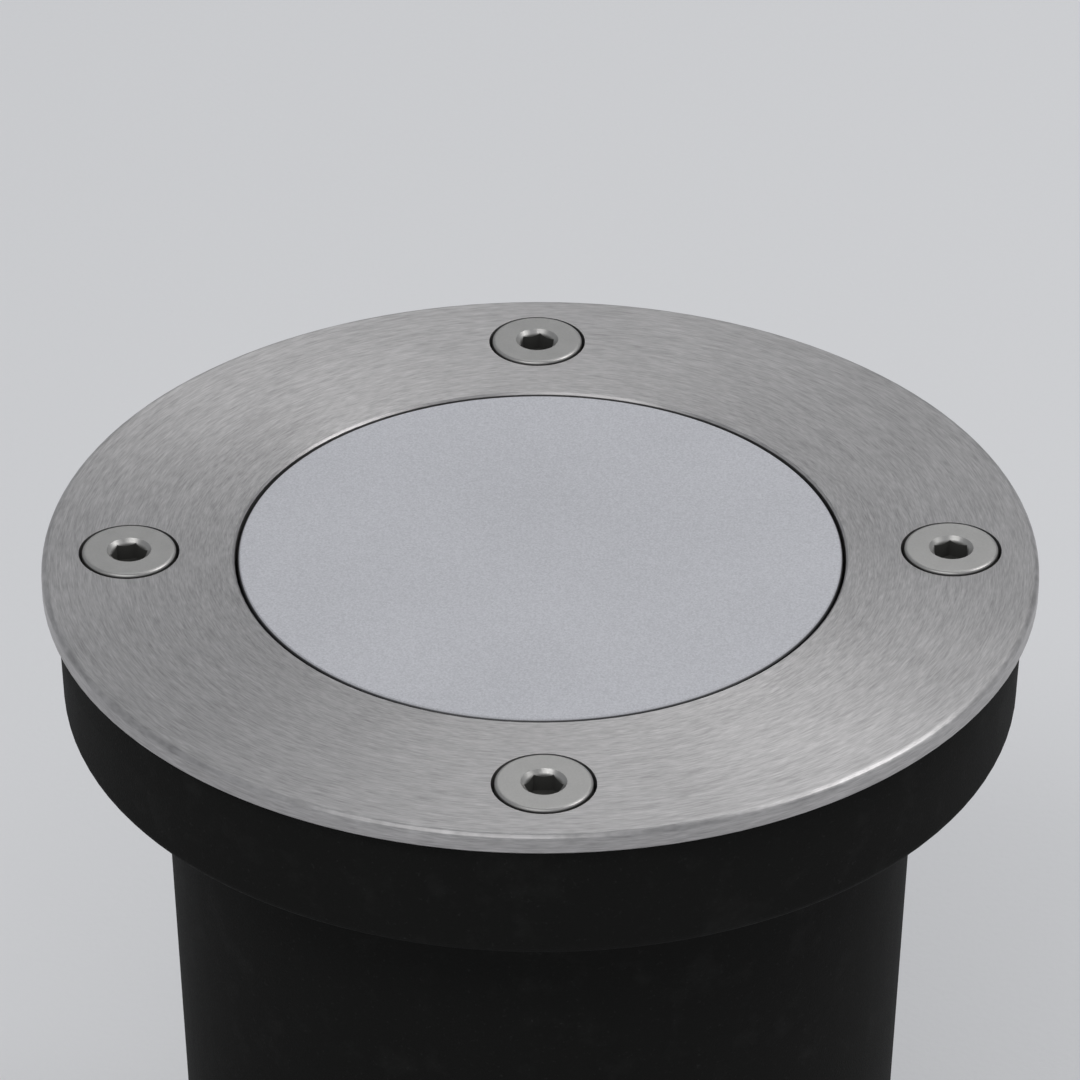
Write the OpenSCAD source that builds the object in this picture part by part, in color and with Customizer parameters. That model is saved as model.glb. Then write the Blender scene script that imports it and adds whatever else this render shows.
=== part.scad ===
// In-ground well light: a moulded sleeve that is buried in the ground, and a sealed luminaire that
// stands on a ledge inside it. A brushed steel trim ring with four captive screws clamps a stepped,
// frosted glass and its gasket onto a cast housing, which holds the lamp, its holder and the wiring.
// Millimetres. +Z is up, and the origin is the centre of the sleeve's foot.

/* [Trim ring] */
// Opening for the glass
ring_bore_d = 74.4; // [68:0.2:90]
// Width of the ring's face, from the opening to the rim
ring_w = 23.4; // [22.6:0.1:26]
// Thickness of the ring at its rim
ring_rim_t = 2.5; // [2.2:0.1:3.4]
// Thickness of the ring's body, inside the collar
ring_body_t = 6; // [5.6:0.1:6.4]
// Rounding of the ring's upper edge
ring_edge_r = 0.8; // [0.2:0.1:1.2]
// Chamfer under the ring's rim
ring_chamfer = 0.2; // [0.1:0.05:0.5]
// Bevel round the opening for the glass
bore_bevel = 0.25; // [0.1:0.05:0.5]

/* [Ring screws] */
// Diameter of the screw head
head_d = 11.5; // [10:0.1:11.8]
// Height of the screw head
head_h = 4; // [3.2:0.1:4.4]
// Rounding of the head's upper edge
head_edge_r = 0.4; // [0.2:0.05:0.8]
// Gap round the head, in its recess
head_gap = 0.4; // [0.3:0.05:0.5]
// Depth of the recess
recess_depth = 4.2; // [3.6:0.1:4.6]
// Diameter of the screw's thread
thread_d = 6; // [5:0.5:6]
// Length of the screw under its head
thread_l = 10; // [8:0.5:11]
// Chamfer at the thread's end
thread_bevel = 0.6; // [0.3:0.1:1]
// Hexagon socket, across its flats
hex_af = 4; // [3:0.5:5]
// Depth of the hexagon socket
hex_depth = 2.6; // [2:0.1:3.4]
// Chamfer round the socket's mouth
hex_bevel = 0.4; // [0.2:0.05:0.5]
// Thickness of the captive sealing washer
washer_t = 0.5; // [0.4:0.1:0.8]

/* [Glass] */
// Gap between the glass and the ring's opening
glass_gap = 0.4; // [0.2:0.05:0.8]
// Drop of the glass below the ring's top face
glass_drop = 0.1; // [0.05:0.05:0.5]
// Width of the glass's clamped flange
glass_flange_w = 5.3; // [4:0.1:6]
// Thickness of the glass's clamped flange
glass_flange_t = 4; // [3:0.5:4.5]
// Bevel round the glass's edges
glass_bevel = 0.3; // [0.1:0.05:0.6]
// Thickness of the gasket's lips
gasket_t = 1.3; // [1:0.1:1.5]
// Thickness of the gasket round the glass's edge
gasket_wall = 0.8; // [0.6:0.1:1]

/* [Housing] */
// Gap between the housing's flange and the collar
flange_gap = 0.5; // [0.3:0.1:0.8]
// Thickness of the housing's flange
flange_t = 9; // [8:0.5:11]
// Step from the ring's opening out to the lamp chamber's mouth
seat_step = 1.4; // [1:0.1:1.8]
// Wall of the can under the flange
can_wall = 4; // [3:0.1:4.3]
// Height of the wiring room, between the floor and the lampholder
wiring_h = 17.4; // [16:0.2:24]
// Thickness of the chamber's floor
floor_t = 4; // [3:0.5:5]
// Wall left round the flange's cored pockets
core_wall = 2; // [1.5:0.1:2.4]
// Pockets between one screw boss and the next
core_count = 3; // [2:1:4]

/* [Ground sleeve] */
// Height from the sleeve's foot to the ring's top face
overall_h = 130; // [128:1:160]
// Overhang of the ring's rim over the collar
ring_overhang = 1.8; // [1:0.1:4]
// Height of the collar's straight upper band
collar_band_h = 6; // [4:0.5:8]
// Wall of the collar
collar_wall = 3; // [2.8:0.1:3.2]
// Wall of the collar's lip, round the ring's body
collar_lip = 1.7; // [1:0.1:1.8]
// Rounding of the collar's lower edge
collar_fillet = 1.5; // [0.5:0.1:2]
// Thickness of the ledge that the flange stands on
ledge_t = 3.5; // [2.4:0.1:5]
// Gap between the housing's can and the sleeve, under the flange
sleeve_gap = 1.7; // [1.2:0.1:2.4]
// Wall of the sleeve
sleeve_wall = 2.5; // [2:0.1:2.6]
// Taper of the moulded walls, in degrees
draft = 1.77; // [0.5:0.01:2]
// Width of each cable notch in the foot
notch_w = 14; // [12:0.5:20]
// Height of each cable notch, to the top of its arch
notch_h = 18; // [14:0.5:20]

/* [Lamp] */
// Diameter of the reflector lamp
lamp_d = 50; // [48:0.5:52]
// Length of the lamp without its pins
lamp_l = 47; // [46:0.5:50]
// Space between the glass and the lamp
lamp_gap = 6; // [4:0.5:7]
// Diameter of the lamp's cap
cap_d = 31; // [29:0.5:32]
// Height of the lamp's cap
cap_h = 15; // [13:0.5:17]
// Distance between the lamp's two pins
pin_pitch = 10; // [10:0.1:10.4]
// Diameter of a pin's neck
pin_neck_d = 3; // [2.8:0.1:3.2]
// Diameter of a pin's head
pin_head_d = 5; // [4.8:0.1:5.2]
// Turn that frees the lamp from its holder, in degrees
twist = 30; // [24:1:36]

/* [Lampholder and wiring] */
// Length of the lampholder
holder_l = 33; // [32:0.5:38]
// Width of the lampholder
holder_w = 21; // [19:0.5:24]
// Height of the lampholder
holder_h = 20; // [18:0.5:21]
// Distance between the lampholder's two fixing screws
holder_screw_pitch = 24; // [22:0.5:25]
// Width of the bracket's legs
bracket_w = 18; // [12:0.5:20]
// Thickness of the bracket's steel
bracket_t = 1.5; // [1:0.1:2]
// Distance between the terminal block's poles
pole_pitch = 10; // [9.6:0.2:10.4]
// Diameter of the insulated inner wires
lead_d = 1.8; // [1.4:0.1:2]

/* [Cable gland] */
// Thread diameter of the gland
gland_d = 16; // [16:0.5:18]
// Width of the gland's shoulder, outside its thread
gland_shoulder = 2; // [1.5:0.25:3]
// Diameter of the cable that the gland takes
cable_d = 8; // [6:0.5:9]

/* [Hidden] */
$fn = 96;

// Overrun of every cut, and the clearances that the pieces share
cut = 1;
fit_gap = 0.3;
thread_gap = 0.05;
hole_gap = 0.15;
seal_gap = 0.05;

// Angles of the four screws, and of the moulded walls
full = 360;
quarter = full/4;
half = full/2;
hex_sides = 6;
arc_steps = 6;
taper = tan(draft);

// Heights of the joint faces, from the ring's top face down
top_z = overall_h;
rim_z = top_z - ring_rim_t;
ring_z = top_z - ring_body_t;
shoulder_z = ring_z - gasket_t;
glass_z = shoulder_z - glass_flange_t;
seat_z = glass_z - gasket_t;
flange_z = ring_z - flange_t;
collar_z = flange_z - ledge_t;
collar_top_z = rim_z - fit_gap;
lamp_top_z = glass_z - lamp_gap;
lamp_cap_z = lamp_top_z - lamp_l;
holder_top_z = lamp_cap_z - fit_gap;
holder_z = holder_top_z - holder_h;
floor_z = holder_z - wiring_h;
can_z = floor_z - floor_t;

// Radii that several pieces share
bore_r = ring_bore_d/2;
ring_r = bore_r + ring_w;
glass_r = bore_r - glass_gap;
glass_flange_r = glass_r + glass_flange_w;
gasket_r = glass_flange_r + gasket_wall;
pocket_r = gasket_r + fit_gap;
chamber_r = bore_r + seat_step;
can_r = chamber_r + can_wall;
collar_r = ring_r - ring_overhang;
collar_in_r = collar_r - collar_wall;
lip_r = collar_r - collar_lip;
ring_body_r = lip_r - fit_gap;
flange_r = collar_in_r - flange_gap;
screw_r = (pocket_r + ring_body_r)/2;
sleeve_r = can_r + sleeve_gap + sleeve_wall;

// Seats of the ring screws
recess_d = head_d + 2*head_gap;
recess_z = top_z - recess_depth;
head_z = recess_z + washer_t;
head_top_z = head_z + head_h;
screw_end_z = head_z - thread_l;

// Points of an arc, for the rounded edges of a turned outline
function arc(x, z, r, from, to) = [
    for (i = [0:arc_steps])
        let (a = from + (to - from)*i/arc_steps)
            [x + r*cos(a), z + r*sin(a)]
];

// Radii of the drafted walls at a height
function can_outer(z) = can_r - (flange_z - z)*taper;
function chamber_wall(z) = chamber_r - (seat_z - z)*taper;
function sleeve_outer(z) = sleeve_r - (collar_z - z)*taper;
function sleeve_inner(z) = sleeve_outer(z) - sleeve_wall;

module at_screw(angle) {
    rotate([0, 0, angle])
        translate([screw_r, 0, 0])
            children();
}

module at_sides(x, y) {
    for (side = [-1, 1])
        translate([side*x, side*y, 0])
            children();
}

module tube_ring(d, bore, h) {
    difference() {
        cylinder(d = d, h = h);
        translate([0, 0, -cut])
            cylinder(d = bore, h = h + 2*cut);
    }
}

module hexagon(af, h) {
    cylinder(d = af/cos(half/hex_sides), h = h, $fn = hex_sides);
}

// Trim ring: a thin rim over the ground, and a thicker body with the four screw recesses
module trim_ring() {
    color("silver")
    difference() {
        rotate_extrude()
            polygon(concat(
                [
                    [bore_r, ring_z],
                    [ring_body_r, ring_z],
                    [ring_body_r, rim_z],
                    [ring_r - ring_chamfer, rim_z],
                    [ring_r, rim_z + ring_chamfer]
                ],
                arc(ring_r - ring_edge_r, top_z - ring_edge_r, ring_edge_r, 0, quarter),
                [
                    [bore_r + bore_bevel, top_z],
                    [bore_r, top_z - bore_bevel]
                ]
            ));
        for (i = [0:3])
            at_screw(quarter*i) {
                translate([0, 0, recess_z])
                    cylinder(d = recess_d, h = recess_depth + cut);
                translate([0, 0, ring_z - cut])
                    cylinder(d = thread_d + 2*hole_gap, h = ring_body_t);
            }
    }
}

// Cap screw with a low head, rounded at its upper edge, and a chamfered hexagon socket, which each
// screw's tightening leaves at its own turn
clock_front = 30;
clock_right = 30;
clock_back = 50;
clock_left = 12;

module ring_screw(angle, clock) {
    mouth_d = hex_af/cos(half/hex_sides) + 2*hex_bevel;
    mouth_h = (mouth_d - hex_af)/2 + fit_gap;
    color("gainsboro")
    at_screw(angle)
        difference() {
            rotate_extrude()
                polygon(concat(
                    [
                        [0, screw_end_z],
                        [thread_d/2 - thread_bevel, screw_end_z],
                        [thread_d/2, screw_end_z + thread_bevel],
                        [thread_d/2, head_z],
                        [head_d/2, head_z]
                    ],
                    arc(head_d/2 - head_edge_r, head_top_z - head_edge_r, head_edge_r, 0, quarter),
                    [[0, head_top_z]]
                ));
            translate([0, 0, head_top_z - hex_depth])
                rotate([0, 0, clock])
                    hexagon(hex_af, hex_depth + cut);
            translate([0, 0, head_top_z - mouth_h])
                cylinder(d1 = mouth_d - 2*mouth_h, d2 = mouth_d + 2*mouth_h, h = 2*mouth_h);
        }
}

// Sealing washer that keeps the screw in the ring
module washer(angle) {
    color("black")
    at_screw(angle)
        translate([0, 0, recess_z])
            tube_ring(recess_d - 2*fit_gap, thread_d + 2*thread_gap, washer_t);
}

// Stepped glass: its upper part fills the ring's opening, and its flange is clamped
module glass() {
    glass_top_z = top_z - glass_drop;
    color("lightsteelblue")
    rotate_extrude()
        polygon([
            [0, glass_z],
            [glass_flange_r - glass_bevel, glass_z],
            [glass_flange_r, glass_z + glass_bevel],
            [glass_flange_r, shoulder_z - glass_bevel],
            [glass_flange_r - glass_bevel, shoulder_z],
            [glass_r, shoulder_z],
            [glass_r, glass_top_z - glass_bevel],
            [glass_r - glass_bevel, glass_top_z],
            [0, glass_top_z]
        ]);
}

// U-shaped gasket round the glass's flange
module glass_gasket() {
    lip_in_r = chamber_r + fit_gap;
    edge_r = glass_flange_r + seal_gap;
    color("dimgray")
    rotate_extrude()
        polygon([
            [lip_in_r, seat_z],
            [gasket_r, seat_z],
            [gasket_r, ring_z],
            [lip_in_r, ring_z],
            [lip_in_r, shoulder_z],
            [edge_r, shoulder_z],
            [edge_r, glass_z],
            [lip_in_r, glass_z]
        ]);
}

// Sizes of the housing's floor bosses, and of the screws that go into them
floor_boss_d = 7;
floor_boss_h = 5;
floor_screw_d = 3;
bracket_foot_y = 22;
earth_x = 24;
core_skin = 2.5;

// Pockets cored out of the flange from below, with ribs between them and a boss at each screw
module core_pockets() {
    boss_turn = asin((thread_d/2 + 2*core_wall)/screw_r);
    rib_turn = asin(core_wall/screw_r);
    turn = (quarter - 2*boss_turn - (core_count - 1)*rib_turn)/core_count;
    for (side = [0:3])
        for (i = [0:core_count - 1])
            rotate([0, 0, quarter*side + boss_turn + i*(turn + rib_turn)])
                rotate_extrude(angle = turn)
                    translate([pocket_r + core_wall, flange_z - cut])
                        square([flange_r - pocket_r - 2*core_wall, flange_t - core_skin + cut]);
}

// Cast housing: gasket seat, cored flange with tapped holes, and the can with its floor
module housing() {
    color("dimgray")
    difference() {
        union() {
            rotate_extrude()
                polygon([
                    [0, can_z],
                    [can_outer(can_z), can_z],
                    [can_outer(flange_z), flange_z],
                    [flange_r, flange_z],
                    [flange_r, ring_z],
                    [pocket_r, ring_z],
                    [pocket_r, seat_z],
                    [chamber_r, seat_z],
                    [chamber_wall(floor_z), floor_z],
                    [0, floor_z]
                ]);
            floor_bosses(floor_boss_d, floor_z - cut, floor_boss_h + cut);
        }
        for (i = [0:3])
            at_screw(quarter*i)
                translate([0, 0, flange_z - cut])
                    cylinder(d = thread_d + 2*thread_gap, h = flange_t + 2*cut);
        core_pockets();
        floor_bosses(floor_screw_d + 2*thread_gap, floor_z, floor_boss_h + cut);
        at_block_screws()
            translate([0, 0, floor_z - block_screw_l])
                cylinder(d = block_screw_d + 2*thread_gap, h = block_screw_l + cut);
        translate([0, 0, can_z - cut])
            cylinder(d = gland_d + 2*hole_gap, h = floor_t + 2*cut);
    }
}

module floor_bosses(d, z, h) {
    at_sides(0, bracket_foot_y)
        translate([0, 0, z])
            cylinder(d = d, h = h);
    translate([-earth_x, 0, z])
        cylinder(d = d, h = h);
}

// Sizes of the sleeve's foot and of its four centring ribs
foot_w = 4;
foot_t = 2.5;
guide_t = 2;
guide_count = 4;

// Ground sleeve: lip, collar, ledge, drafted wall, and an open foot with cable notches
module ground_sleeve() {
    band_z = collar_top_z - collar_band_h;
    collar_low_r = collar_r - (band_z - collar_z)*taper;
    foot_in_r = sleeve_inner(0) - foot_w;
    lip_z = ring_z - fit_gap;
    color("#1c1c1e")
    difference() {
        union() {
            rotate_extrude()
                polygon(concat(
                    [
                        [foot_in_r, 0],
                        [sleeve_outer(0), 0],
                        [sleeve_outer(collar_z), collar_z]
                    ],
                    arc(collar_low_r - collar_fillet, collar_z + collar_fillet, collar_fillet, -quarter, 0),
                    [
                        [collar_r, band_z],
                        [collar_r, collar_top_z],
                        [lip_r, collar_top_z],
                        [lip_r, lip_z],
                        [collar_in_r, lip_z],
                        [collar_in_r, flange_z],
                        [sleeve_inner(flange_z), flange_z],
                        [sleeve_inner(foot_t), foot_t],
                        [foot_in_r, foot_t]
                    ]
                ));
            for (i = [0:guide_count - 1])
                rotate([0, 0, i*full/guide_count])
                    guide_rib();
        }
        for (i = [0:1])
            rotate([0, 0, quarter/2 + quarter*i])
                cable_notch();
    }
}

// Upright rib inside the sleeve that centres the can
module guide_rib() {
    high_z = flange_z - ledge_t/2;
    root = sleeve_wall/2;
    translate([0, guide_t/2, 0])
        rotate([quarter, 0, 0])
            linear_extrude(guide_t)
                polygon([
                    [can_outer(can_z) + fit_gap, can_z],
                    [sleeve_inner(can_z) + root, can_z - foot_w],
                    [sleeve_inner(high_z) + root, high_z],
                    [can_outer(high_z) + fit_gap, high_z]
                ]);
}

// Round-topped notch through both sides of the foot
module cable_notch() {
    arch_z = notch_h - notch_w/2;
    translate([-sleeve_r, 0, 0])
        rotate([quarter, 0, quarter])
            linear_extrude(2*sleeve_r) {
                translate([-notch_w/2, -cut])
                    square([notch_w, arch_z + cut]);
                translate([0, arch_z])
                    circle(d = notch_w);
            }
}

// Lamp: finned shell, front disc, cap and mushroom-headed pins
lamp_rim_h = 6;
lamp_rim_wall = 2;
lamp_front_t = 2;
lamp_core_d = 31;
lamp_core_top_d = 37;
lamp_fin_t = 1.4;
lamp_fin_count = 20;
lamp_fin_inset = 1;
pin_neck_l = 4.2;
pin_head_t = 2.6;

module lamp_shell() {
    rim_low_z = lamp_top_z - lamp_rim_h;
    shell_z = lamp_cap_z + cap_h;
    color("white")
    difference() {
        union() {
            translate([0, 0, rim_low_z])
                cylinder(d = lamp_d, h = lamp_rim_h);
            translate([0, 0, shell_z])
                cylinder(d1 = lamp_core_d, d2 = lamp_core_top_d, h = rim_low_z - shell_z);
            for (i = [0:lamp_fin_count - 1])
                rotate([0, 0, i*full/lamp_fin_count])
                    lamp_fin(shell_z, rim_low_z);
        }
        translate([0, 0, lamp_top_z - lamp_front_t])
            cylinder(d = lamp_d - 2*lamp_rim_wall, h = lamp_front_t + cut);
    }
}

module lamp_fin(low_z, high_z) {
    translate([0, lamp_fin_t/2, 0])
        rotate([quarter, 0, 0])
            linear_extrude(lamp_fin_t)
                polygon([
                    [lamp_core_d/4, low_z],
                    [lamp_core_d/2 + lamp_fin_inset, low_z],
                    [lamp_d/2 - lamp_fin_inset, high_z - lamp_rim_h/2],
                    [lamp_d/2 - lamp_fin_inset, high_z + lamp_rim_wall/2],
                    [lamp_core_d/4, high_z + lamp_rim_wall/2]
                ]);
}

module lamp_front() {
    color("aliceblue")
    translate([0, 0, lamp_top_z - lamp_front_t])
        cylinder(d = lamp_d - 2*lamp_rim_wall - 2*seal_gap, h = lamp_front_t);
}

module lamp_cap() {
    color("ivory")
    difference() {
        translate([0, 0, lamp_cap_z])
            cylinder(d = cap_d, h = cap_h);
        at_sides(pin_pitch/2, 0)
            translate([0, 0, lamp_cap_z - cut])
                cylinder(d = pin_neck_d, h = pin_neck_l + cut);
    }
}

module lamp_pins() {
    color("lightgray")
    at_sides(pin_pitch/2, 0) {
        translate([0, 0, lamp_cap_z - pin_neck_l])
            cylinder(d = pin_neck_d, h = 2*pin_neck_l);
        translate([0, 0, lamp_cap_z - pin_neck_l - pin_head_t])
            cylinder(d = pin_head_d, h = pin_head_t);
    }
}

// Lampholder: curved keyhole slots that the pins turn in, with a contact under each pin
holder_face_t = 2.6;
holder_screw_d = 3;
holder_screw_l = 8;
contact_t = 0.8;
pin_room = pin_neck_l + pin_head_t;
contact_z = lamp_cap_z - pin_room - contact_t;

// Path of both pins from their locked place to the holes that let them out
module pin_path(w, h) {
    for (side = [0, half])
        rotate([0, 0, side]) {
            rotate_extrude(angle = twist)
                translate([pin_pitch/2 - w/2, 0])
                    square([w, h]);
            for (a = [0, twist])
                rotate([0, 0, a])
                    translate([pin_pitch/2, 0, 0])
                        cylinder(d = w, h = h);
        }
}

module lampholder() {
    slot_w = pin_neck_d + 2*fit_gap;
    head_w = pin_head_d + 2*fit_gap;
    face_z = holder_top_z - holder_face_t;
    color("linen")
    difference() {
        union() {
            translate([-(holder_l - holder_w)/2, -holder_w/2, holder_z])
                cube([holder_l - holder_w, holder_w, holder_h]);
            at_sides((holder_l - holder_w)/2, 0)
                translate([0, 0, holder_z])
                    cylinder(d = holder_w, h = holder_h);
        }
        translate([0, 0, face_z - cut])
            pin_path(slot_w, holder_face_t + 2*cut);
        translate([0, 0, contact_z])
            pin_path(head_w, face_z - contact_z);
        for (side = [0, half])
            rotate([0, 0, side + twist])
                translate([pin_pitch/2, 0, contact_z])
                    cylinder(d = head_w, h = holder_top_z - contact_z + cut);
        at_sides(pin_pitch/2, 0)
            translate([0, 0, holder_z - cut])
                cylinder(d = lead_d + 2*fit_gap, h = contact_z - holder_z + 2*cut);
        at_sides(holder_screw_pitch/2, 0)
            translate([0, 0, holder_z - cut])
                cylinder(d = holder_screw_d + 2*thread_gap, h = holder_screw_l + cut);
    }
}

module holder_contacts() {
    color("goldenrod")
    at_sides(pin_pitch/2, 0)
        translate([0, 0, contact_z])
            cylinder(d = pin_head_d, h = contact_t - seal_gap);
}

// Cross-slotted screw with its head upwards and its seat at the origin
module pan_screw(d, l, head_w, head_t) {
    slot_w = head_w/5;
    difference() {
        union() {
            cylinder(d1 = head_w, d2 = head_w - head_t/2, h = head_t);
            translate([0, 0, -l])
                cylinder(d = d, h = l + head_t/2);
        }
        for (a = [0, quarter])
            rotate([0, 0, a])
                translate([-head_w/3, -slot_w/2, head_t/2])
                    cube([2*head_w/3, slot_w, head_t]);
    }
}

// Steel bracket that carries the lampholder over the gland
bracket_y = 15;
bracket_window_d = 13;
screw_head_d = 5.5;
screw_head_h = 2;
foot_z = floor_z + floor_boss_h;
plate_z = holder_z - bracket_t;

module holder_bracket() {
    foot_l = bracket_foot_y + floor_boss_d/2 - bracket_y;
    color("gainsboro")
    difference() {
        union() {
            translate([-holder_l/2, -bracket_y, plate_z])
                cube([holder_l, 2*bracket_y, bracket_t]);
            for (side = [0, 1])
                mirror([0, side, 0]) {
                    translate([-bracket_w/2, bracket_y - bracket_t, foot_z])
                        cube([bracket_w, bracket_t, plate_z - foot_z + bracket_t]);
                    translate([-bracket_w/2, bracket_y - bracket_t, foot_z])
                        cube([bracket_w, foot_l + bracket_t, bracket_t]);
                }
        }
        at_sides(holder_screw_pitch/2, 0)
            translate([0, 0, plate_z - cut])
                cylinder(d = holder_screw_d + 2*hole_gap, h = bracket_t + 2*cut);
        at_sides(0, bracket_foot_y)
            translate([0, 0, foot_z - cut])
                cylinder(d = floor_screw_d + 2*hole_gap, h = bracket_t + 2*cut);
        translate([0, 0, plate_z - cut])
            cylinder(d = bracket_window_d, h = bracket_t + 2*cut);
    }
}

module bracket_screws() {
    color("silver")
    at_sides(0, bracket_foot_y)
        translate([0, 0, foot_z + bracket_t])
            pan_screw(floor_screw_d, floor_boss_h + bracket_t/2, screw_head_d, screw_head_h);
}

module holder_screws() {
    color("silver")
    at_sides(holder_screw_pitch/2, 0)
        translate([0, 0, plate_z])
            mirror([0, 0, 1])
                pan_screw(holder_screw_d, holder_screw_l, screw_head_d, screw_head_h);
}

// Terminal block with brass clamps, their screws, and two fixing screws between the poles
pole_count = 3;
block_w = 9;
block_wall_gap = 7.4;
block_x = chamber_wall(floor_z) - block_wall_gap - block_w/2;
block_base_h = 8;
block_h = 13;
pillar_d = 5.4;
clamp_d = 4.4;
clamp_l = 7.6;
clamp_z = 4;
clamp_screw_d = 3;
clamp_screw_l = 5;
block_screw_d = 2.5;
block_screw_l = 2.5;
block_screw_head_d = 4.4;
block_screw_head_h = 1.6;

module at_poles() {
    for (i = [0:pole_count - 1])
        translate([block_x, (i - (pole_count - 1)/2)*pole_pitch, floor_z])
            children();
}

module at_block_screws() {
    for (side = [-1, 1])
        translate([block_x, side*pole_pitch/2, 0])
            children();
}

module terminal_block() {
    block_l = pole_count*pole_pitch;
    color("whitesmoke")
    difference() {
        union() {
            translate([block_x - block_w/2, -block_l/2, floor_z])
                cube([block_w, block_l, block_base_h]);
            at_poles()
                cylinder(d = pillar_d, h = block_h);
        }
        at_poles() {
            translate([-block_w, 0, clamp_z])
                rotate([0, quarter, 0])
                    cylinder(d = clamp_d, h = 2*block_w);
            translate([0, 0, clamp_z])
                cylinder(d = clamp_screw_d + 2*hole_gap, h = block_h);
        }
        at_block_screws()
            translate([0, 0, floor_z - cut])
                cylinder(d = block_screw_d + 2*hole_gap, h = block_base_h + 2*cut);
    }
}

module terminal_clamps() {
    color("goldenrod")
    at_poles()
        difference() {
            translate([-clamp_l/2, 0, clamp_z])
                rotate([0, quarter, 0])
                    cylinder(d = clamp_d - 2*seal_gap, h = clamp_l);
            translate([-block_w, 0, clamp_z])
                rotate([0, quarter, 0])
                    cylinder(d = lead_d + 2*thread_gap, h = 2*block_w);
            translate([0, 0, clamp_z])
                cylinder(d = clamp_screw_d + 2*thread_gap, h = clamp_d);
        }
}

module terminal_screws() {
    slot_w = clamp_screw_d/5;
    color("silver")
    at_poles()
        translate([0, 0, clamp_z + lead_d/2 + thread_gap])
            difference() {
                cylinder(d = clamp_screw_d, h = clamp_screw_l);
                translate([-clamp_screw_d, -slot_w/2, clamp_screw_l - slot_w])
                    cube([2*clamp_screw_d, slot_w, 2*slot_w]);
            }
}

module block_screws() {
    shank_l = block_base_h + block_screw_l - seal_gap;
    color("silver")
    at_block_screws()
        translate([0, 0, floor_z + block_base_h])
            pan_screw(block_screw_d, shank_l, block_screw_head_d, block_screw_head_h);
}

// Sizes of the cable gland under the floor
gland_hex_h = 5;
gland_neck_h = 7;
gland_washer_t = 1.5;
gland_nut_h = 12;
gland_lip_h = 4;
gland_wall = 2;
locknut_h = 4;
gland_af = gland_d + 2*gland_shoulder;
gland_z = can_z - gland_washer_t;
gland_low_z = gland_z - gland_hex_h - gland_neck_h;
gland_bore_d = gland_d - 2*gland_wall;

// Insulated wires: a smooth route through named points, swept with a round section
lead_sides = 8;
lead_steps = 4;

function blend(a, b, c, d, t) =
    (2*b + (c - a)*t + (2*a - 5*b + 4*c - d)*t*t + (3*b - a - 3*c + d)*t*t*t)/2;

function route(p) = concat(
    [for (i = [0:len(p) - 2])
        for (k = [0:lead_steps - 1])
            blend(p[max(i - 1, 0)], p[i], p[i + 1], p[min(i + 2, len(p) - 1)], k/lead_steps)],
    [p[len(p) - 1]]
);

function unit(v) = v/norm(v);

function section(p, i, d) =
    let (
        t = unit(p[min(i + 1, len(p) - 1)] - p[max(i - 1, 0)]),
        n = unit(cross([0, 1, 0], t)),
        b = cross(t, n)
    )
    [for (j = [0:lead_sides - 1]) p[i] + (n*cos(full*j/lead_sides) + b*sin(full*j/lead_sides))*d/2];

module wire(points, d) {
    p = route(points);
    last = (len(p) - 1)*lead_sides;
    polyhedron(
        points = [for (i = [0:len(p) - 1]) each section(p, i, d)],
        faces = concat(
            [[for (j = [0:lead_sides - 1]) j]],
            [[for (j = [lead_sides - 1:-1:0]) last + j]],
            [for (i = [0:len(p) - 2]) for (j = [0:lead_sides - 1])
                let (a = i*lead_sides + j, b = i*lead_sides + (j + 1)%lead_sides)
                    each [[a, a + lead_sides, b + lead_sides], [a, b + lead_sides, b]]]
        )
    );
}

clamp_in_x = block_x - clamp_l/2 + lead_d/2;
clamp_mid_z = floor_z + clamp_z;
near_block_x = block_x - block_w/2 - lead_d;
over_gland_z = floor_z + locknut_h + 2*lead_d;

function holder_lead(side) = [
    [side*pin_pitch/2, 0, contact_z - seal_gap],
    [side*pin_pitch/2, 0, holder_z],
    [side*pin_pitch/2, side*lead_d/2, plate_z - 2*lead_d],
    [pin_pitch/2 + side*lead_d, side*pole_pitch*3/4, over_gland_z + lead_d],
    [near_block_x - 2*lead_d, side*pole_pitch, clamp_mid_z + lead_d],
    [near_block_x, side*pole_pitch, clamp_mid_z],
    [clamp_in_x, side*pole_pitch, clamp_mid_z]
];

module holder_leads() {
    color("firebrick")
    for (side = [-1, 1])
        wire(holder_lead(side), lead_d);
}

// Earth tag on its boss, its screw, and the wire to the middle pole
tag_t = 0.8;
tag_d = 6;
tag_l = 9;
tag_w = 3;

module earth_tag() {
    color("goldenrod")
    translate([-earth_x, 0, foot_z])
        difference() {
            union() {
                cylinder(d = tag_d, h = tag_t);
                translate([0, -tag_w/2, 0])
                    cube([tag_l, tag_w, tag_t]);
            }
            translate([0, 0, -cut])
                cylinder(d = floor_screw_d + 2*hole_gap, h = tag_t + 2*cut);
        }
}

module earth_screw() {
    color("silver")
    translate([-earth_x, 0, foot_z + tag_t])
        pan_screw(floor_screw_d, floor_boss_h, screw_head_d, screw_head_h);
}

module earth_lead() {
    tag_end_x = tag_l - earth_x;
    tag_top_z = foot_z + tag_t + lead_d/2 + seal_gap;
    color("yellowgreen")
    wire([
        [tag_end_x - 2*lead_d, 0, tag_top_z],
        [tag_end_x, 0, tag_top_z],
        [tag_end_x + 2*lead_d, 0, over_gland_z],
        [0, 0, over_gland_z],
        [near_block_x - 3*lead_d, 0, over_gland_z],
        [near_block_x, 0, clamp_mid_z],
        [clamp_in_x, 0, clamp_mid_z]
    ], lead_d);
}

// Cable gland: body through the floor, washer, locknut, seal and cap nut
module gland_washer() {
    color("black")
    translate([0, 0, gland_z])
        tube_ring(gland_af, gland_d + 2*seal_gap, gland_washer_t);
}

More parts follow.
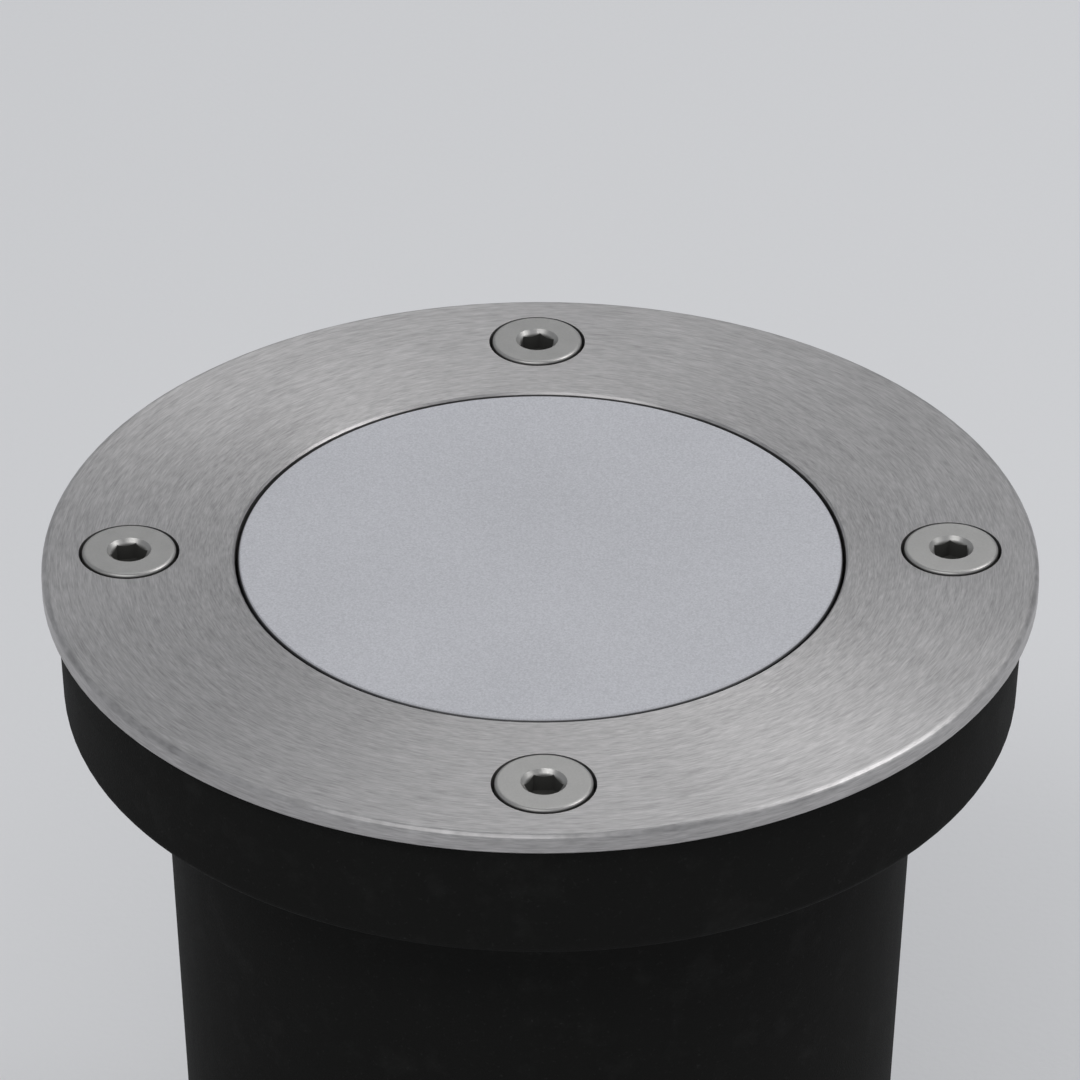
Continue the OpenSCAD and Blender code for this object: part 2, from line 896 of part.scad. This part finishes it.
module gland_body() {
    color("dimgray")
    difference() {
        union() {
            translate([0, 0, gland_z - gland_hex_h])
                hexagon(gland_af, gland_hex_h);
            translate([0, 0, gland_low_z])
                cylinder(d = gland_d, h = floor_z + locknut_h + cut - gland_low_z);
        }
        translate([0, 0, gland_low_z - cut])
            cylinder(d = gland_bore_d, h = floor_z + locknut_h - gland_low_z + 3*cut);
    }
}

module gland_locknut() {
    color("silver")
    translate([0, 0, floor_z])
        difference() {
            hexagon(gland_af, locknut_h);
            translate([0, 0, -cut])
                cylinder(d = gland_d + 2*thread_gap, h = locknut_h + 2*cut);
        }
}

module gland_seal() {
    color("black")
    translate([0, 0, gland_low_z])
        tube_ring(gland_bore_d - 2*seal_gap, cable_d, gland_neck_h);
}

module gland_nut() {
    crown_d = gland_af - gland_wall;
    nut_z = gland_z - gland_hex_h - fit_gap - gland_nut_h;
    color("dimgray")
    translate([0, 0, nut_z])
        difference() {
            union() {
                translate([0, 0, gland_lip_h])
                    hexagon(gland_af, gland_nut_h - gland_lip_h);
                cylinder(d1 = crown_d - gland_wall, d2 = crown_d, h = gland_lip_h);
            }
            translate([0, 0, gland_nut_h - gland_neck_h - fit_gap])
                cylinder(d = gland_d + 2*thread_gap, h = gland_nut_h);
            translate([0, 0, -cut])
                cylinder(d = cable_d + 2*fit_gap, h = gland_nut_h);
        }
}

ground_sleeve();
housing();
trim_ring();
glass();
glass_gasket();
ring_screw(3*quarter, clock_front);  // ring_screw_front
ring_screw(0, clock_right);  // ring_screw_right
ring_screw(quarter, clock_back);  // ring_screw_back
ring_screw(2*quarter, clock_left);  // ring_screw_left
washer(3*quarter);  // washer_front
washer(0);  // washer_right
washer(quarter);  // washer_back
washer(2*quarter);  // washer_left
lamp_shell();
lamp_front();
lamp_cap();
lamp_pins();
lampholder();
holder_contacts();
holder_screws();
holder_bracket();
bracket_screws();
holder_leads();
terminal_block();
terminal_clamps();
terminal_screws();
block_screws();
earth_screw();
earth_tag();
earth_lead();
gland_body();
gland_nut();
gland_seal();
gland_washer();
gland_locknut();
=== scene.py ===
import math

import bpy
from mathutils import Matrix, Vector


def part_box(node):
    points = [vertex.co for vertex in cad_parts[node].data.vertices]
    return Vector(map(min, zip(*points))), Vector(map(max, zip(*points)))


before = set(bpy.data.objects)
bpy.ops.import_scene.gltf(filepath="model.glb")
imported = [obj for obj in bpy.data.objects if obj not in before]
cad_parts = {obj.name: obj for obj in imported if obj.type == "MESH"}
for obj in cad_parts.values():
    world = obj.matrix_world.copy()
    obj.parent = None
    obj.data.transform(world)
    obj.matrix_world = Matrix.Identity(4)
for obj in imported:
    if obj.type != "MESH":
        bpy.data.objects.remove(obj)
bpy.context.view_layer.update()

# Camera: a long lens in front of the light and above it, looking down at about 32 degrees. It
# stands a little to the left, because the four screws are not quite square to the view.
ring_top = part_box("trim_ring")[1][2]
camera_place = (0.00145, -0.6578, ring_top + 0.418)
angle_round_light = -0.66
angle_down = 32.34
angle_aside = 0.13
angle_roll = 0.11


def turned(degrees, axis):
    return Matrix.Rotation(math.radians(degrees), 4, axis)


camera_data = bpy.data.cameras.new("camera")
camera_data.lens = 213.6
camera_data.sensor_width = 36.0
camera_data.clip_start = 0.05
camera = bpy.data.objects.new("camera", camera_data)
bpy.context.scene.collection.objects.link(camera)
camera.matrix_world = (
    turned(angle_round_light, "Z")
    @ Matrix.Translation(camera_place)
    @ turned(angle_aside, "Z")
    @ turned(90 - angle_down, "X")
    @ turned(angle_roll, "Z")
)
bpy.context.scene.camera = camera
bpy.context.scene.view_settings.view_transform = "Standard"


# Studio floor: a wide, plain, pale sheet of paper that the sleeve's foot stands on. It is matt,
# so the lamps only leave soft shadows on it.
class Wire:
    """An output of a finish's nodes. Sums on it add their Math nodes."""

    def __init__(self, finish, socket):
        self.finish = finish
        self.socket = socket

    def math(self, operation, *others):
        values = dict(enumerate((self, *others)))
        return self.finish.add("ShaderNodeMath", {"operation": operation}, values)

    def __add__(self, other):
        return self.math("ADD", other)

    def __sub__(self, other):
        return self.math("SUBTRACT", other)

    def __rsub__(self, other):
        return self.finish.add("ShaderNodeMath", {"operation": "SUBTRACT"}, {0: other, 1: self})

    def __mul__(self, other):
        return self.math("MULTIPLY", other)

    def __truediv__(self, other):
        return self.math("DIVIDE", other)

    def __rtruediv__(self, other):
        return self.finish.add("ShaderNodeMath", {"operation": "DIVIDE"}, {0: other, 1: self})

    __radd__ = __add__
    __rmul__ = __mul__

    def clamp(self):
        return self.math("MAXIMUM", 0.0).math("MINIMUM", 1.0)

    def above(self, limit, sharpness=9000.0):
        """A mask that is 1 above the limit. It fades out over 1 / sharpness."""
        return ((self - limit) * sharpness).clamp()

    def below(self, limit, sharpness=9000.0):
        """A mask that is 1 below the limit. It fades out over 1 / sharpness."""
        return ((limit - self) * sharpness).clamp()


class Finish:
    """A material. Viewers that don't read its nodes show its plain colour."""

    def __init__(self, name, colour, roughness, metallic=0.0, **constants):
        self.material = bpy.data.materials.new(name)
        self.material.use_nodes = True
        self.material.diffuse_color = (*colour, 1.0)
        self.tree = self.material.node_tree
        self.shader = self.tree.nodes["Principled BSDF"]
        self.place = self.add("ShaderNodeTexCoord", out="Object")
        self.colour((*colour, 1.0))
        self.rough(roughness)
        self.metal(metallic)
        for key, value in constants.items():
            self.set(self.shader, key.replace("_", " "), value)

    def set(self, target, key, value):
        if isinstance(value, Wire):
            self.tree.links.new(value.socket, target.inputs[key])
        else:
            target.inputs[key].default_value = value

    def add(self, kind, settings=None, values=None, out=0):
        """A new node with its settings, and the values or wires of its sockets."""
        new = self.tree.nodes.new(kind)
        for key, value in (settings or {}).items():
            setattr(new, key, value)
        for key, value in (values or {}).items():
            self.set(new, key, value)
        return Wire(self, new.outputs[out])

    def noise(self, scale, detail=2.0, roughness=0.5, at=None):
        """Cloudy noise from 0 to 1, with scale patches to the metre."""
        values = {"Vector": at or self.place, "Scale": scale, "Detail": detail, "Roughness": roughness}
        return self.add("ShaderNodeTexNoise", None, values, out="Fac")

    def axes(self):
        """East, north and height, in metres from the centre of the foot."""
        east = self.add("ShaderNodeSeparateXYZ", None, {0: self.place})
        return [Wire(self, socket) for socket in east.socket.node.outputs]

    def away(self, centre=(0.0, 0.0)):
        """Distance from an upright axis."""
        east, north, _ = self.axes()
        east = east - centre[0]
        north = north - centre[1]
        return (east * east + north * north).math("SQRT")

    def round_axis(self, level, around, across):
        """A place for noise that runs round the light's axis, long around it and fine across."""
        east, north, _ = self.axes()
        away = self.away()
        values = {0: east / away * around, 1: north / away * around, 2: level * across}
        return self.add("ShaderNodeCombineXYZ", None, values)

    def thread(self, pitch, centre=(0.0, 0.0)):
        """A screw thread on an upright axis: 1 at its crest and 0 at its root."""
        east, north, height = self.axes()
        turn = (north - centre[1]).math("ARCTAN2", east - centre[0]) / (2 * math.pi)
        return ((height / pitch - turn).math("FRACT") - 0.5).math("ABSOLUTE") * 2.0

    def mix(self, mask, low, high):
        """The first colour where the mask is 0, and the second where it is 1."""
        low, high = [(*c, 1.0) if isinstance(c, tuple) else c for c in (low, high)]
        values = {0: mask, 6: low, 7: high}
        return self.add("ShaderNodeMix", {"data_type": "RGBA"}, values, out=2)

    def colour(self, value):
        self.set(self.shader, "Base Color", value)

    def rough(self, value):
        self.set(self.shader, "Roughness", value)

    def metal(self, value):
        self.set(self.shader, "Metallic", value)

    def bump(self, height, depth, strength=1.0):
        values = {"Height": height, "Distance": depth, "Strength": strength}
        self.set(self.shader, "Normal", self.add("ShaderNodeBump", None, values, out="Normal"))

    def on(self, *names):
        for name in names:
            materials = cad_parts[name].data.materials
            materials.clear()
            materials.append(self.material)


bpy.ops.object.select_all(action="DESELECT")
bpy.ops.mesh.primitive_plane_add(size=6.0, location=(0.0, 0.0, 0.0))
floor = bpy.context.active_object
floor.name = "studio_floor"
paper = Finish("studio_paper", (0.78, 0.78, 0.79), 0.9)
paper.bump(paper.noise(900.0, detail=3.0), 0.00005)
floor.data.materials.append(paper.material)

# Studio light: a pale room and three soft lamps. The key lamp, high on the right, and the lamp
# behind open into bright fans on the brushed ring, from its front right to its back left. The
# front lamp draws a bright line along the ring's rounded front edge.
world = bpy.data.worlds.new("studio")
bpy.context.scene.world = world
world.use_nodes = True
room = world.node_tree.nodes["Background"]
room.inputs["Color"].default_value = (0.80, 0.82, 0.85, 1.0)
room.inputs["Strength"].default_value = 0.53
lamp_aim = Vector((0.0, 0.0, 0.1))


def soft_lamp(name, place, width, height, watts):
    data = bpy.data.lights.new(name, "AREA")
    data.shape = "RECTANGLE"
    data.size = width
    data.size_y = height
    data.energy = watts
    lamp = bpy.data.objects.new(name, data)
    bpy.context.scene.collection.objects.link(lamp)
    lamp.location = place
    lamp.rotation_euler = (lamp_aim - Vector(place)).to_track_quat("-Z", "Y").to_euler()


soft_lamp("key_lamp", (1.05, 0.2, 1.45), width=0.7, height=0.7, watts=7.2)
soft_lamp("back_lamp", (0.3, 1.2, 1.6), width=1.0, height=0.7, watts=3.3)
soft_lamp("front_lamp", (-0.35, -0.85, 1.25), width=1.1, height=0.35, watts=4.2)

# Ground sleeve: injection-moulded black plastic, buried up to the ring. It has a fine, even
# grain from the mould, faint flow marks round its walls, and dust in the grain.
clean_plastic = (0.0095, 0.0095, 0.009)
dusty_plastic = (0.045, 0.045, 0.044)
sleeve_black = Finish("sleeve_black", (0.006, 0.006, 0.006), 0.6, Specular_IOR_Level=0.035)
height = sleeve_black.axes()[2]
grain = sleeve_black.noise(4200.0, roughness=0.6)
flow_place = sleeve_black.round_axis(height, around=14.0, across=30.0)
flow = sleeve_black.noise(1.0, detail=4.0, roughness=0.6, at=flow_place)
dust = (sleeve_black.noise(160.0, detail=6.0, roughness=0.65) - 0.54).clamp() * 0.7
specks = (sleeve_black.noise(1900.0, detail=3.0, roughness=0.6) - 0.62).clamp() * 2.0
dirt_and_socket_shade = (dust + specks + flow * 0.05).clamp()
sleeve_black.colour(sleeve_black.mix(dirt_and_socket_shade, clean_plastic, dusty_plastic))
sleeve_black.rough(0.52 + grain * 0.2 + flow * 0.08)
sleeve_black.bump(grain, 0.00006, strength=0.7)
sleeve_black.on("ground_sleeve")

# Housing: die-cast aluminium, black powder coated. The coat lies in a soft orange peel, and
# the cast skin shows through it as a slow unevenness.
thin_coat = (0.022, 0.022, 0.024)
thick_coat = (0.04, 0.04, 0.042)
housing_black = Finish("housing_black", (0.03, 0.03, 0.032), 0.5, Coat_Weight=0.08, Coat_Roughness=0.3)
peel = housing_black.noise(1500.0, roughness=0.55)
cast = housing_black.noise(140.0, detail=3.0)
housing_black.colour(housing_black.mix(cast, thin_coat, thick_coat))
housing_black.rough(0.40 + peel * 0.14 + cast * 0.1)
housing_black.bump(peel + cast * 0.6, 0.00012, strength=0.6)
housing_black.on("housing")

# Trim ring: turned stainless steel, brushed on the lathe. Fine strokes run round the ring and
# break up along it, with a few deeper ones, and handling leaves slow cloudy patches.
steel_groove = (0.307, 0.300, 0.299)
steel_crest = (0.585, 0.572, 0.571)
ring_steel = Finish(
    "ring_steel", (0.40, 0.395, 0.392), 0.36, 1.0, Anisotropic=0.65, Anisotropic_Rotation=0.25
)
level = ring_steel.away() + ring_steel.axes()[2]
fine = ring_steel.noise(1.0, roughness=0.6, at=ring_steel.round_axis(level, around=26.0, across=6000.0))
broad = ring_steel.noise(1.0, at=ring_steel.round_axis(level, around=9.0, across=1500.0))
cloud = ring_steel.noise(38.0, detail=3.0)
stroke = fine * 0.7 + broad * 0.3
tone = ((stroke - 0.5) * 2.1 + (cloud - 0.5) * 0.4 + 0.5).clamp()
ring_steel.colour(ring_steel.mix(tone, steel_groove, steel_crest))
ring_steel.rough(0.30 + stroke * 0.14 + cloud * 0.06)
ring_steel.bump(stroke, 0.00002, strength=0.5)
ring_steel.on("trim_ring")

# Ring screws: stainless cap screws with low heads. Their faces are satin from the upsetting die,
# and the shanks carry a rolled thread. The broached sockets are painted dark and dull below
# their mouths, as painted shade for their depth, and the thread's roots get painted shade too.
screw_pitch = 0.001
thread_depth = 0.0004
thread_length = 0.0099
socket_radius = 0.0027
socket_shade_below_top = 0.00038
face_dark = (0.335, 0.329, 0.319)
face_light = (0.485, 0.478, 0.465)
thread_root_shade = (0.09, 0.088, 0.085)
painted_socket_shade = (0.05, 0.049, 0.045)
for name in ("ring_screw_front", "ring_screw_right", "ring_screw_back", "ring_screw_left"):
    low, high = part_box(name)
    centre = ((low[0] + high[0]) / 2, (low[1] + high[1]) / 2)
    screw_steel = Finish(name + "_steel", (0.36, 0.355, 0.346), 0.34, 1.0)
    height = screw_steel.axes()[2]
    # Painted shade: inside the socket, below its mouth, the steel is painted dark and not metallic.
    in_socket = screw_steel.away(centre).below(socket_radius)
    dirt_and_socket_shade = in_socket * height.below(high[2] - socket_shade_below_top, sharpness=4000.0)
    shank = height.below(low[2] + thread_length)
    thread = screw_steel.thread(screw_pitch, centre)
    grind = screw_steel.noise(3200.0, detail=3.0, roughness=0.6)
    smear = screw_steel.noise(420.0)
    face = screw_steel.mix((grind * 0.6 + smear * 0.4).clamp(), face_dark, face_light)
    # Painted shade: the thread's roots on the shank are darkened, for the shade in its grooves.
    face = screw_steel.mix(shank * (1.0 - thread) * 0.7, face, thread_root_shade)
    screw_steel.colour(screw_steel.mix(dirt_and_socket_shade, face, painted_socket_shade))
    screw_steel.metal(1.0 - dirt_and_socket_shade)
    screw_steel.rough(0.26 + grind * 0.14 + smear * 0.08 + dirt_and_socket_shade * 0.3)
    screw_steel.bump(thread * shank + grind * 0.03, thread_depth, strength=0.8)
    screw_steel.on(name)

# Seals: black silicone rubber. The gasket is moulded as a U round the glass, and washers of the
# same rubber keep the screws in the ring. The surface is matt, with a little bloom.
rubber = (0.009, 0.009, 0.010)
bloomed_rubber = (0.045, 0.045, 0.047)
seal_rubber = Finish("seal_rubber", (0.012, 0.012, 0.013), 0.7)
bloom = seal_rubber.noise(220.0, detail=5.0, roughness=0.6)
skin = seal_rubber.noise(3800.0)
seal_rubber.colour(seal_rubber.mix(bloom * 0.35, rubber, bloomed_rubber))
seal_rubber.rough(0.6 + bloom * 0.25)
seal_rubber.bump(skin, 0.00004, strength=0.6)
seal_rubber.on("glass_gasket", "gland_seal", "gland_washer")
seal_rubber.on("washer_front", "washer_right", "washer_back", "washer_left")

# Glass: toughened and sand-blasted on its upper face, so it spreads the light. It has a fine
# sparkle of grains, and slow mottling where the blast was uneven. A thin dark line round the face
# and down its edge is painted shade, for the shaded gap between the glass and the ring.
flange_and_gap_shade = 0.0055
gap_shade_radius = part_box("glass")[1][0] - flange_and_gap_shade
blasted_dark = (0.435, 0.437, 0.463)
blasted_light = (0.565, 0.567, 0.601)
painted_gap_shade = (0.02, 0.02, 0.022)
frosted = Finish("frosted_glass", (0.52, 0.535, 0.585), 0.42, IOR=1.5)
grit = frosted.noise(4300.0, roughness=0.7)
mottle = frosted.noise(40.0, detail=3.0, roughness=0.45)
sparkle = ((grit - 0.5) * 3.0 + (mottle - 0.5) * 0.6 + 0.5).clamp()
# Painted shade: out from the rim of the face, the glass is painted dark for the gap at the ring.
gap_shade_mask = frosted.away().above(gap_shade_radius, sharpness=10000.0)
face = frosted.mix(sparkle, blasted_dark, blasted_light)
frosted.colour(frosted.mix(gap_shade_mask, face, painted_gap_shade))
frosted.rough(0.34 + grit * 0.2)
frosted.bump(grit, 0.00003, strength=0.6)
frosted.on("glass")

# Lamp: a standard reflector lamp, held by its two pins. The shell with its cooling fins and
# the cap are moulded in white thermoplastic, with a slow unevenness of tone.
shell_grey = (0.72, 0.72, 0.69)
shell_white = (0.82, 0.82, 0.80)
lamp_white = Finish("lamp_white", (0.78, 0.78, 0.76), 0.42)
speckle = lamp_white.noise(2400.0)
shade = lamp_white.noise(60.0, detail=3.0)
lamp_white.colour(lamp_white.mix(shade, shell_grey, shell_white))
lamp_white.rough(0.34 + speckle * 0.16)
lamp_white.bump(speckle, 0.00003, strength=0.5)
lamp_white.on("lamp_shell", "lamp_cap")

# Lamp front: a disc of opal plastic, pressed into the shell's rim. It is moulded with a fine
# pebbled face, which spreads the light.
opal_hollow = (0.80, 0.83, 0.86)
opal_crest = (0.88, 0.89, 0.90)
opal = Finish("lamp_opal", (0.84, 0.86, 0.88), 0.35)
pebble = opal.add("ShaderNodeTexVoronoi", None, {"Vector": opal.place, "Scale": 900.0}, out="Distance")
opal.colour(opal.mix(pebble, opal_hollow, opal_crest))
opal.rough(0.28 + pebble * 0.2)
opal.bump(pebble, 0.0001, strength=0.6)
opal.on("lamp_front")

# Plated parts: the lamp's pins, the holder's bracket, which is bent from sheet, and the small
# screws. They are steel with a dull zinc or nickel plate, which varies a little in tone.
plate_dark = (0.40, 0.40, 0.38)
plate_light = (0.62, 0.62, 0.60)
plate = Finish("plated_steel", (0.52, 0.52, 0.50), 0.36, 0.9)
tone = plate.noise(160.0, detail=4.0, roughness=0.6)
plate.colour(plate.mix((tone * 0.8).clamp(), plate_dark, plate_light))
plate.rough(0.26 + tone * 0.2)
plate.bump(plate.noise(2800.0), 0.00002, strength=0.4)
plate.on("lamp_pins", "holder_bracket", "bracket_screws", "holder_screws", "terminal_screws", "block_screws")

# Lampholder: pressed and fired ceramic, screwed to the bracket. It is unglazed, with a chalky
# grain and a few dark specks.
chalk_dark = (0.74, 0.71, 0.64)
chalk_light = (0.84, 0.81, 0.75)
dark_speck = (0.30, 0.26, 0.20)
ceramic = Finish("holder_ceramic", (0.80, 0.77, 0.70), 0.75)
chalk = ceramic.noise(1700.0, detail=4.0, roughness=0.65)
speck = ((ceramic.noise(1100.0) - 0.70).clamp() * 3.0).clamp()
ceramic.colour(ceramic.mix(speck, ceramic.mix(chalk, chalk_dark, chalk_light), dark_speck))
ceramic.rough(0.68 + chalk * 0.16)
ceramic.bump(chalk, 0.00008, strength=0.6)
ceramic.on("lampholder")

# Brass parts: the holder's contacts, the terminal clamps, and the earth tag with its screw.
# They are made from drawn brass with a fine grain, which has dulled a little.
brass_dull = (0.42, 0.29, 0.10)
brass_bright = (0.66, 0.50, 0.21)
brass = Finish("drawn_brass", (0.58, 0.42, 0.16), 0.32, 1.0)
tarnish = brass.noise(300.0, detail=4.0, roughness=0.6)
brass.colour(brass.mix(tarnish, brass_dull, brass_bright))
brass.rough(0.22 + tarnish * 0.22)
brass.bump(brass.noise(3200.0), 0.00002, strength=0.4)
brass.on("holder_contacts", "terminal_clamps", "earth_tag", "earth_screw")

# Terminal block: moulded polyamide, milky and slightly waxy. Two small screws between its
# poles fix it to the housing's floor.
milk_dark = (0.62, 0.62, 0.58)
milk_light = (0.76, 0.76, 0.72)
milky = Finish("block_polyamide", (0.70, 0.70, 0.66), 0.4)
wax = milky.noise(240.0, detail=3.0)
milky.colour(milky.mix(wax, milk_dark, milk_light))
milky.rough(0.34 + wax * 0.18)
milky.bump(milky.noise(2600.0), 0.00003, strength=0.4)
milky.on("terminal_block")

# Holder leads: two wires from the lampholder to the terminal block. Their insulation is red
# silicone, which stands the lamp's heat. It is soft and a little dusty.
silicone_red = (0.30, 0.020, 0.012)
silicone_dusty = (0.46, 0.055, 0.038)
silicone = Finish("lead_silicone", (0.36, 0.028, 0.018), 0.5)
haze = silicone.noise(700.0, detail=4.0, roughness=0.6)
silicone.colour(silicone.mix(haze, silicone_red, silicone_dusty))
silicone.rough(0.44 + haze * 0.2)
silicone.bump(silicone.noise(3000.0), 0.00002, strength=0.4)
silicone.on("holder_leads")

# Earth lead: one wire from the terminal block to the earth tag. Its insulation is green along
# the front side and yellow along the back.
earth_green = (0.06, 0.30, 0.03)
earth_yellow = (0.62, 0.52, 0.03)
earth = Finish("earth_insulation", (0.10, 0.34, 0.04), 0.5)
stripe = (earth.axes()[1] * 6000.0 + 0.5).clamp()
haze = earth.noise(700.0, detail=4.0, roughness=0.6)
earth.colour(earth.mix(stripe, earth_green, earth_yellow))
earth.rough(0.42 + haze * 0.2)
earth.bump(earth.noise(3000.0), 0.00002, strength=0.4)
earth.on("earth_lead")

# Cable gland: moulded black polyamide, with a fine grain and a slight sheen on its hexagons. A
# thread runs along the body, above the hexagon for the locknut and below it for the cap nut.
gland_pitch = 0.0015
gland_thread_depth = 0.0005
thread_inside = 0.0078
thread_outside = 0.0082
gland_dark = (0.016, 0.016, 0.018)
gland_light = (0.034, 0.034, 0.036)
gland_black = Finish("gland_black", (0.022, 0.022, 0.024), 0.42)
away = gland_black.away()
threaded = away.above(thread_inside) * away.below(thread_outside)
thread = gland_black.thread(gland_pitch)
spark = gland_black.noise(3600.0, roughness=0.6)
patch = gland_black.noise(260.0, detail=4.0)
gland_black.colour(gland_black.mix(patch, gland_dark, gland_light))
gland_black.rough(0.34 + spark * 0.18)
gland_black.bump(thread * threaded + spark * 0.06, gland_thread_depth, strength=0.8)
gland_black.on("gland_body", "gland_nut", "gland_locknut")
